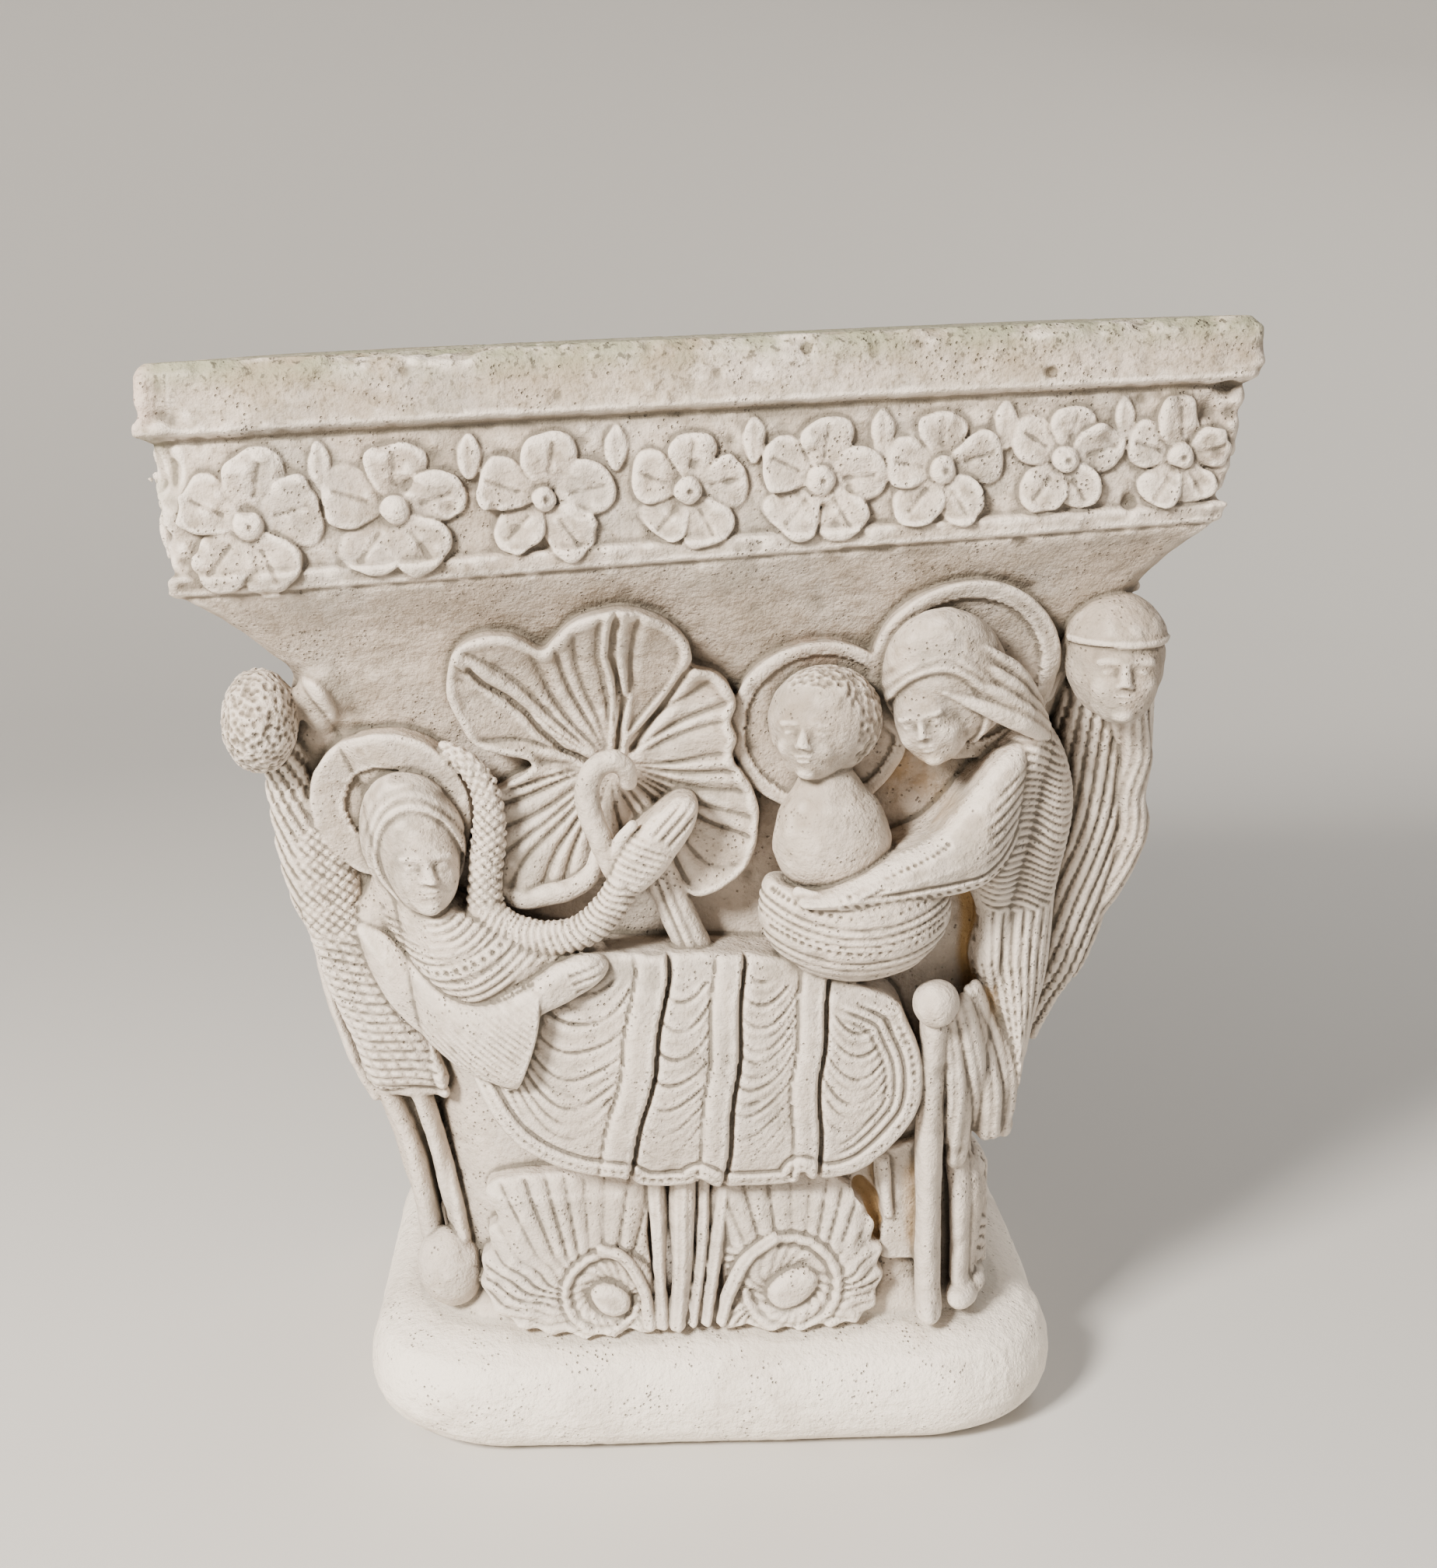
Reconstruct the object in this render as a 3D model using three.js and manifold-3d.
// Carved column capital in cast plaster: one solid, millimetres, +Z up, front towards -Y.
// The block is a loft of rounded rectangles.  Carving is drawn on a face in (across, up, out)
// and bent onto the block, so that every figure follows the flare of the bell.
import * as THREE from 'three';
import { mergeVertices } from 'three/addons/utils/BufferGeometryUtils.js';
import Module from 'manifold-3d';

const wasm = await Module();
wasm.setup();

// ---------------------------------------------------------------- the block

// [height, half width, half depth, corner radius] from the underside to the top
const block = [
  [0, 119, 101, 46], [3, 126, 108, 48], [10, 131, 113, 50], [22, 133, 115, 51],
  [33, 130, 112, 50], [41, 122, 104, 46], [45, 109, 92, 40],
  [60, 102, 88, 36], [105, 102, 89, 34], [160, 106, 92, 32], [210, 112, 96, 30],
  [255, 121, 102, 27], [285, 131, 109, 22], [303, 140, 117, 16], [318, 151, 127, 10],
  [329, 161, 137, 6], [334, 167, 141, 4],
  [336, 170, 143, 4], [341, 171, 144, 4], [343, 169, 142, 4],
  [382, 172.5, 145.5, 4], [384.5, 176, 150, 4], [401, 176, 150, 4], [404.5, 173, 147, 5],
];
// the abacus is carved out of level: [height, rise per millimetre to the right]
const lean = [[0, 0], [235, 0], [335, 0.074], [384, 0.052], [404.5, 0.041]];
const baseShift = 7;
const cornerSteps = 3;

function between(table, at, column) {
  const last = table.length - 1;
  if (at <= table[0][0]) return table[0][column];
  if (at >= table[last][0]) return table[last][column];
  const i = table.findIndex((row) => row[0] > at) - 1;
  const share = (at - table[i][0]) / (table[i + 1][0] - table[i][0]);
  return THREE.MathUtils.lerp(table[i][column], table[i + 1][column], share);
}

const shift = (z) => baseShift * THREE.MathUtils.clamp(1 - z / 300, 0, 1);
const level = (x, z) => z - x * between(lean, z, 1);

function solid(geometry) {
  geometry.deleteAttribute('normal');
  geometry.deleteAttribute('uv');
  const merged = mergeVertices(geometry, 1e-4);
  return new wasm.Manifold(new wasm.Mesh({
    numProp: 3,
    vertProperties: new Float32Array(merged.attributes.position.array),
    triVerts: new Uint32Array(merged.index.array),
  }));
}

// closed skin over rings of equal point counts, with a fan at either end
function skin(rings) {
  const count = rings[0].length;
  const middle = (ring) => ring.reduce((sum, p) => sum.add(p), new THREE.Vector3()).divideScalar(count);
  const points = [...rings.flat(), middle(rings[0]), middle(rings[rings.length - 1])];
  const index = [];
  for (let j = 0; j < rings.length - 1; j++) {
    for (let i = 0; i < count; i++) {
      const a = j * count + i, b = j * count + (i + 1) % count;
      index.push(a, b, b + count, a, b + count, a + count);
    }
  }
  const top = (rings.length - 1) * count;
  for (let i = 0; i < count; i++) {
    const k = (i + 1) % count;
    index.push(points.length - 2, k, i, points.length - 1, top + i, top + k);
  }
  const geometry = new THREE.BufferGeometry();
  geometry.setAttribute('position', new THREE.Float32BufferAttribute(points.flatMap((p) => p.toArray()), 3));
  geometry.setIndex(index);
  return geometry;
}

function blockSolid() {
  const rings = block.map(([z, halfX, halfY, radius]) => {
    const ring = [];
    for (let corner = 0; corner < 4; corner++) {
      for (let i = 0; i <= cornerSteps; i++) {
        const turn = (corner + i / cornerSteps) * Math.PI / 2;
        const sx = corner === 0 || corner === 3 ? 1 : -1, sy = corner < 2 ? 1 : -1;
        const x = sx * (halfX - radius) + radius * Math.cos(turn) + shift(z);
        const y = sy * (halfY - radius) + radius * Math.sin(turn);
        ring.push(new THREE.Vector3(x, y, z + x * between(lean, z, 1)));
      }
    }
    return ring;
  });
  return solid(skin(rings));
}

// ------------------------------------------------------- carving on a face

// distance of a face from the middle of the block, less what its rounded corners fall back
function reach(column, across, height) {
  const other = column === 2 ? 1 : 2;
  const radius = between(block, height, 3);
  const past = Math.abs(across) - (between(block, height, other) - radius);
  const side = THREE.MathUtils.clamp(past, 0, 0.85 * radius);
  return between(block, height, column) - radius + Math.sqrt(radius ** 2 - side ** 2);
}

// a face takes (across, up, out) to its place on the block
const faces = {
  front: (u, v, h) => [u, -reach(2, u - shift(v), level(u, v)) - h, v],
  back: (u, v, h) => [-u, reach(2, u + shift(v), level(-u, v)) + h, v],
  right: (u, v, h) => [reach(1, u, level(150, v)) + shift(v) + h, u, v],
  left: (u, v, h) => [-reach(1, u, level(-150, v)) + shift(v) - h, -u, v],
};

function carve(geometry, face) {
  const place = geometry.attributes.position;
  for (let i = 0; i < place.count; i++) {
    place.setXYZ(i, ...faces[face](place.getX(i), place.getY(i), place.getZ(i)));
  }
  return solid(geometry);
}

function ball(centre, radii, { turn = 0, around = 10, down = 7 } = {}) {
  return new THREE.SphereGeometry(1, around, down).rotateX(Math.PI / 2)
    .scale(...radii).rotateZ(turn).translate(...centre);
}

// tube through points [across, up, out, radius]; flat squeezes it in the out direction
function rope(path, { sides = 8, steps = 3, flat = 1 } = {}) {
  const curve = new THREE.CatmullRomCurve3(path.map(([u, v, h]) => new THREE.Vector3(u, v, h)));
  const count = (path.length - 1) * steps;
  const rings = [];
  for (let j = 0; j <= count; j++) {
    const at = j / count;
    const centre = curve.getPoint(at);
    const along = curve.getTangent(at);
    const aside = new THREE.Vector3(along.y, -along.x, 0).normalize();
    const out = new THREE.Vector3().crossVectors(along, aside).normalize();
    const i = Math.min(Math.floor(j / steps), path.length - 2);
    const radius = THREE.MathUtils.lerp(path[i][3], path[i + 1][3], j / steps - i);
    rings.push(Array.from({ length: sides }, (_, k) => {
      const turn = k / sides * 2 * Math.PI;
      return centre.clone().addScaledVector(aside, radius * Math.cos(turn))
        .addScaledVector(out, flat * radius * Math.sin(turn));
    }));
  }
  const geometry = skin(rings);
  return geometry;
}

// raised carving of an outline: its rings are [share of the outline about the middle, height]
function mound(outline, [middleU, middleV], profile) {
  return skin(profile.map(([share, height]) => outline.map(([u, v]) =>
    new THREE.Vector3(middleU + share * (u - middleU), middleV + share * (v - middleV), height))));
}

const pieces = [];
const add = (face, ...geometries) => geometries.forEach((g) => pieces.push(carve(g, face)));

// boss drawn by rings about its middle: radiusAt(turn) gives the outline and the
// profile its rings as [share of the radius, height]
function boss(u, v, radiusAt, profile, count, start = 0) {
  return skin(profile.map(([share, height]) => Array.from({ length: count }, (_, i) => {
    const turn = start + i / count * 2 * Math.PI;
    const radius = share * radiusAt(turn);
    return new THREE.Vector3(u + radius * Math.cos(turn), v + radius * Math.sin(turn), height);
  })));
}

// --------------------------------------------------------------- ornament

function rosette(face, u, v, radius, spin = 0, button = true) {
  const outline = (turn) => radius * (0.88 + 0.2 * Math.cos(5 * (turn - spin)));
  const profile = button
    ? [[1, -3], [0.92, 3.4], [0.25, 2.6]]
    : [[1, -3], [0.93, 3.4]];
  const count = button ? 15 : 10;
  add(face, boss(u, v, outline, profile, count, spin + (button ? Math.PI / 15 : 0)));
  if (button) add(face, boss(u, v, () => 4.6, [[1, -1], [0.6, 5.5]], 5));
}

// rosettes of the front as they stand: [across, up, radius, turn of the first petal]
function frontFrieze() {
  const blooms = [
    [-143, 348, 22, 0.25], [-97, 353, 22.5, 0.32], [-50, 356, 21, 0.2], [-5, 358, 18.5, 0.3],
    [37, 361, 20, 0.25], [76, 364, 19, 0.3], [115, 367, 18.5, 0.2], [152, 368, 18, 0.3],
  ];
  blooms.forEach((bloom) => rosette('front', ...bloom));
  for (let i = 1; i < blooms.length; i++) {
    const u = (blooms[i - 1][0] + blooms[i][0]) / 2;
    add('front', ball([u, 374 + u * 0.055, 0.5], [4, 6.5, 3], { around: 4, down: 3 }));
  }
}

function sideFrieze(face) {
  const count = 5, pitch = 52, middle = face === 'right' ? 371 : 350;
  for (let i = 0; i < count; i++) rosette(face, (i - (count - 1) / 2) * pitch, middle, 18, 0.3, false);
}

// lobed leaf spread like a fan; its outline is the furthest reach of lobes given as
// [direction in degrees, length, half width in degrees]
function fanLeaf(face, u, v, lobes, height, count) {
  const outline = (turn) => Math.max(...lobes.map(([degrees, length, half]) => {
    const off = THREE.MathUtils.euclideanModulo(turn * 180 / Math.PI - degrees + 180, 360) - 180;
    return length * (1 - 0.3 * Math.min(1, Math.abs(off) / half) ** 2.5);
  }));
  add(face, boss(u, v, outline, [[1, -7], [0.97, height], [0.3, height - 3]], count));
}

const frontLobes = [
  [147, 65, 20], [114, 59, 18], [83, 57, 20], [60, 49, 12], [26, 50, 17],
  [-6, 50, 14], [-28, 57, 13], [-55, 58, 16], [-92, 40, 16], [-128, 54, 18], [-162, 46, 14], [176, 44, 10],
];

// curled leaf: fluted edge round a bowl
function scrollLeaf(face, u, v, radius, height, flutes) {
  const outline = (turn) => radius * (0.93 + 0.09 * Math.cos(flutes * turn));
  const bowl = face === 'front' ? [[0.45, height - 3]] : [];
  add(face, boss(u, v, outline, [[1, -5], [0.92, height], ...bowl], flutes * 2));
}

// the eye that the front leaves curl round
const eye = (u, v, height) => add('front', ball([u, v, height - 3], [7, 8.5, 6], { around: 6, down: 4 }));

// ----------------------------------------------------------- front figures

// dished disc behind a head
const nimbus = (u, v, radius, height, rim) => add('front',
  boss(u, v, () => radius, [[1, -6], [0.98, height], [1 - rim / radius, height], [0.6, height - 3]], 13));

// head: an egg for the hair, veil or cap and a smaller one, set forward, for the face
function head(u, v, out, radii, face) {
  add('front', ball([u, v, out], radii, { around: 9, down: 7 }));
  if (face) add('front', ball([u + face[0], v + face[1], out + face[2]], face.slice(3), { around: 7, down: 5 }));
}

function recliningWoman() {
  nimbus(-106, 247, 28, 14, 8);
  head(-99, 237, 19, [19, 26, 17], [2, -7, 6, 13, 17.5, 12.5]);
  const shoulders = [[-97, 216, 14, 11], [-88, 200, 15, 15], [-66, 195, 16, 12.5], [-44, 193, 17, 9]];
  const sleeve = [
    [-117, 212, 10, 10], [-115, 194, 17, 12], [-101, 176, 21, 15], [-82, 170, 25, 16], [-60, 178, 28, 10.5],
    [-44, 188, 29, 7], [-31, 195, 28, 4],
  ];
  const sleeveEnd = [[-92, 168, 20, 11], [-78, 160, 23, 9], [-66, 151, 25, 3]];
  const raisedArm = [
    [-71, 262, 8, 5.5], [-71, 238, 13, 6.5], [-71, 214, 16, 7], [-62, 204, 18, 7.5], [-47, 208, 20, 7.5],
    [-34, 219, 22, 6.5], [-23, 232, 23, 6.5], [-11, 244, 22, 7], [-3, 253, 20, 4],
  ];
  add('front',
    rope(shoulders, { steps: 1 }), rope(sleeve, { sides: 7, steps: 1 }), rope(sleeveEnd, { sides: 6, steps: 1 }),
    rope(raisedArm, { sides: 6, steps: 1 }));
}

function stem() {
  add('front',
    rope([[-26, 228, 12, 4.5], [-34, 246, 14, 4.5], [-35, 259, 15, 4.5], [-30, 265, 15, 4.5], [-24, 261, 15, 4.2],
      [-24, 254, 14, 3.2]], { sides: 6, steps: 1, flat: 1.3 }),
    rope([[-17, 232, 8, 6], [-10, 215, 8, 6], [0, 193, 8, 6]], { sides: 6, steps: 1, flat: 1.4 }));
}

function bed() {
  const cover = [
    [-74, 176], [-82, 158], [-75, 141], [-66, 126], [-54, 117], [-40, 113], [-29, 111], [-19, 106], [-2, 108],
    [16, 106], [34, 107], [48, 109], [58, 113], [71, 124], [79, 137], [79, 154], [74, 168], [68, 178], [50, 186],
    [28, 195], [-14, 197], [-48, 196], [-60, 190],
  ];
  add('front', mound(cover, [-3, 152], [[1, -6], [1, 13], [0.88, 23], [0.45, 31]]));
  // raised straps down the cover, each from its top to its foot
  for (const [top, foot] of [[-20, -33], [8, 2], [40, 37]]) {
    add('front', rope([[top, 190, 24, 6.5], [(top + foot) / 2, 150, 31, 6.5], [foot, 113, 22, 6]],
      { sides: 6, steps: 1, flat: 0.5 }));
  }
  // pillow and mattress at the head, its frame, two poles and a ball foot
  add('front',
    rope([[-121, 206, 0, 16], [-117, 180, 2, 16], [-107, 152, 2, 14], [-98, 136, 0, 10]], { steps: 1 }),
    rope([[-134, 200, -10, 5], [-130, 172, -8, 5], [-122, 146, -6, 5], [-114, 122, -4, 5], [-106, 95, -2, 5]],
      { sides: 6, steps: 1, flat: 2.4 }),
    rope([[-113, 134, 6, 4.6], [-96, 80, 6, 4.6]], { sides: 6, steps: 1, flat: 2.2 }),
    rope([[-101, 138, 5, 3.6], [-84, 88, 5, 3.6]], { sides: 6, steps: 1, flat: 2.2 }),
    ball([-92, 67, 9], [10.5, 14, 12], { around: 8, down: 6 }));
}

function bath() {
  nimbus(41, 275, 31, 9, 6);
  head(41, 280, 17, [20, 20.5, 17]);
  const rim = [[21, 231, 26, 4], [36, 223, 37, 4], [58, 221, 40, 4], [80, 227, 32, 4]];
  add('front',
    ball([45, 241, 18], [21, 18, 17], { around: 9, down: 6 }),
    ball([53, 213, 20], [33, 29, 23], { around: 12, down: 7 }),
    rope(rim, { sides: 5, steps: 1 }));
}

function attendant() {
  nimbus(89, 295, 32, 8, 7);
  head(80, 294, 17, [22, 26, 17], [-5, -8, 4, 14, 18, 13]);
  const veil = [[88, 308, 18, 11], [103, 289, 18, 10], [114, 273, 14, 6]];
  const mantle = [
    [98, 268, 12, 14], [112, 252, 12, 17], [115, 228, 12, 14.5], [112, 200, 12, 14], [110, 176, 12, 12],
    [113, 155, 10, 8], [115, 137, 6, 4],
  ];
  const arm = [[110, 256, 22, 10], [98, 242, 28, 11], [78, 234, 32, 8.5], [60, 229, 36, 6.5], [42, 226, 37, 4]];
  add('front', rope(veil, { sides: 7, steps: 1 }), rope(mantle, { sides: 7, steps: 1 }), rope(arm, { sides: 7, steps: 1 }));
}

function bedpost() {
  const cloths = [
    [[89, 171, 8, 4.5], [96, 148, 8, 4.5], [100, 121, 6, 3.5]],
    [[94, 174, 9, 5], [103, 150, 9, 6], [108, 115, 6, 5]],
    [[100, 173, 6, 4.5], [109, 150, 6, 4.5], [114, 123, 2, 4]],
  ];
  add('front',
    ball([83, 179, 22], [9, 9, 9], { around: 8, down: 6 }),
    rope([[83, 176, 16, 5.6], [84, 112, 8, 5.2], [85, 50, 7, 5.2]], { sides: 6, steps: 1, flat: 1.7 }),
    mound([[66, 118], [68, 72], [82, 72], [80, 118]], [74, 95], [[1, -5], [0.94, 8]]),
    ...cloths.map((cloth) => rope(cloth, { sides: 6, steps: 1, flat: 1.6 })),
    rope([[101, 100, 4, 6], [104, 76, 5, 7], [103, 50, 4, 6]], { sides: 6, steps: 1, flat: 1.6 }));
}

function stalks() {
  for (const [foot, top] of [[-14, -12], [-7, -4], [0, 3], [7, 18]]) {
    add('front', rope([[foot, 43, 5, 3.6], [(foot + top) / 2, 70, 6, 3], [top, 108, 6, 4]],
      { sides: 5, steps: 1, flat: 2.4 }));
  }
}

// ---------------------------------------------------------- corner figures

function cornerRight() {
  head(140, 301, 14, [17.5, 23, 18], [1, -7, 4, 13, 15, 12.5]);
  const body = [[149, 284, 8, 9], [152, 258, 6, 9], [148, 230, 2, 9], [143, 206, 0, 9], [133, 176, 0, 9], [124, 150, 0, 6]];
  add('front',
    rope([[119, 295, 3, 5], [137, 316, 4, 5], [157, 330, 3, 5]], { sides: 6, steps: 1 }),
    rope(body, { sides: 7, steps: 1, flat: 1.6 }),
    rope([[134, 275, -14, 20], [127, 220, -14, 20], [112, 150, -12, 16]], { sides: 6, steps: 1, flat: 1.3 }));
}

function cornerLeft() {
  add('front',
    ball([-149, 278, 10], [13, 18, 16], { around: 9, down: 7 }),
    ball([-129, 281, 6], [7, 10, 12], { around: 7, down: 5 }),
    rope([[-141, 272, 2, 10], [-138, 242, 0, 13], [-132, 212, 0, 13], [-124, 188, 0, 10]], { sides: 7, steps: 1, flat: 1.3 }),
    rope([[-126, 290, -14, 14], [-126, 225, -16, 22], [-113, 150, -14, 20], [-99, 90, -10, 14]], { sides: 6, steps: 1, flat: 1.3 }));
}

// ---------------------------------------------------------- plainer faces

const plainLobes = [[90, 54, 20], [52, 52, 18], [128, 52, 18], [14, 48, 18], [166, 48, 18], [-30, 30, 25], [-150, 30, 25], [-90, 20, 40]];

function plainFace(face, height) {
  fanLeaf(face, 0, 250, plainLobes, height, 16);
  add(face,
    rope([[0, 240, 5, 7], [0, 160, 6, 8], [0, 46, 4, 9]], { sides: 6, steps: 1 }),
    boss(0, 152, (turn) => 38 / Math.hypot(Math.cos(turn) * 38 / 62, Math.sin(turn)), [[1, -5], [0.9, 10], [0.5, 14]], 10));
  scrollLeaf(face, -38, 78, 27, height, 5);
  scrollLeaf(face, 38, 78, 27, height, 5);
}

// ------------------------------------------------------------------ build

frontFrieze();
sideFrieze('left');
sideFrieze('right');
fanLeaf('front', -31, 263, frontLobes, 12, 36);
recliningWoman();
stem();
bed();
bath();
attendant();
bedpost();
stalks();
scrollLeaf('front', -46, 76, 30, 14, 8);
scrollLeaf('front', 34, 74, 29, 14, 8);
eye(-39, 67, 14);
eye(30, 63, 14);
cornerRight();
cornerLeft();
plainFace('left', 12);
plainFace('right', 12);
plainFace('back', 10);

const joined = pieces.reduce((whole, piece) => whole.add(piece), blockSolid());
// hollows shut in between the carvings are filled: only the outer skin is kept
const [carved] = joined.simplify(1.8).decompose().sort((a, b) => b.volume() - a.volume());

function toMesh(manifold, name) {
  const { vertProperties, triVerts } = manifold.getMesh();
  const geometry = new THREE.BufferGeometry();
  geometry.setAttribute('position', new THREE.BufferAttribute(vertProperties, 3));
  geometry.setIndex(new THREE.BufferAttribute(triVerts, 1));
  geometry.computeVertexNormals();
  const mesh = new THREE.Mesh(geometry, new THREE.MeshStandardMaterial({ color: 0xd9d0c4, roughness: 0.9 }));
  mesh.name = name;
  return mesh;
}

const group = new THREE.Group();
group.add(toMesh(carved, 'capital'));

export default group;
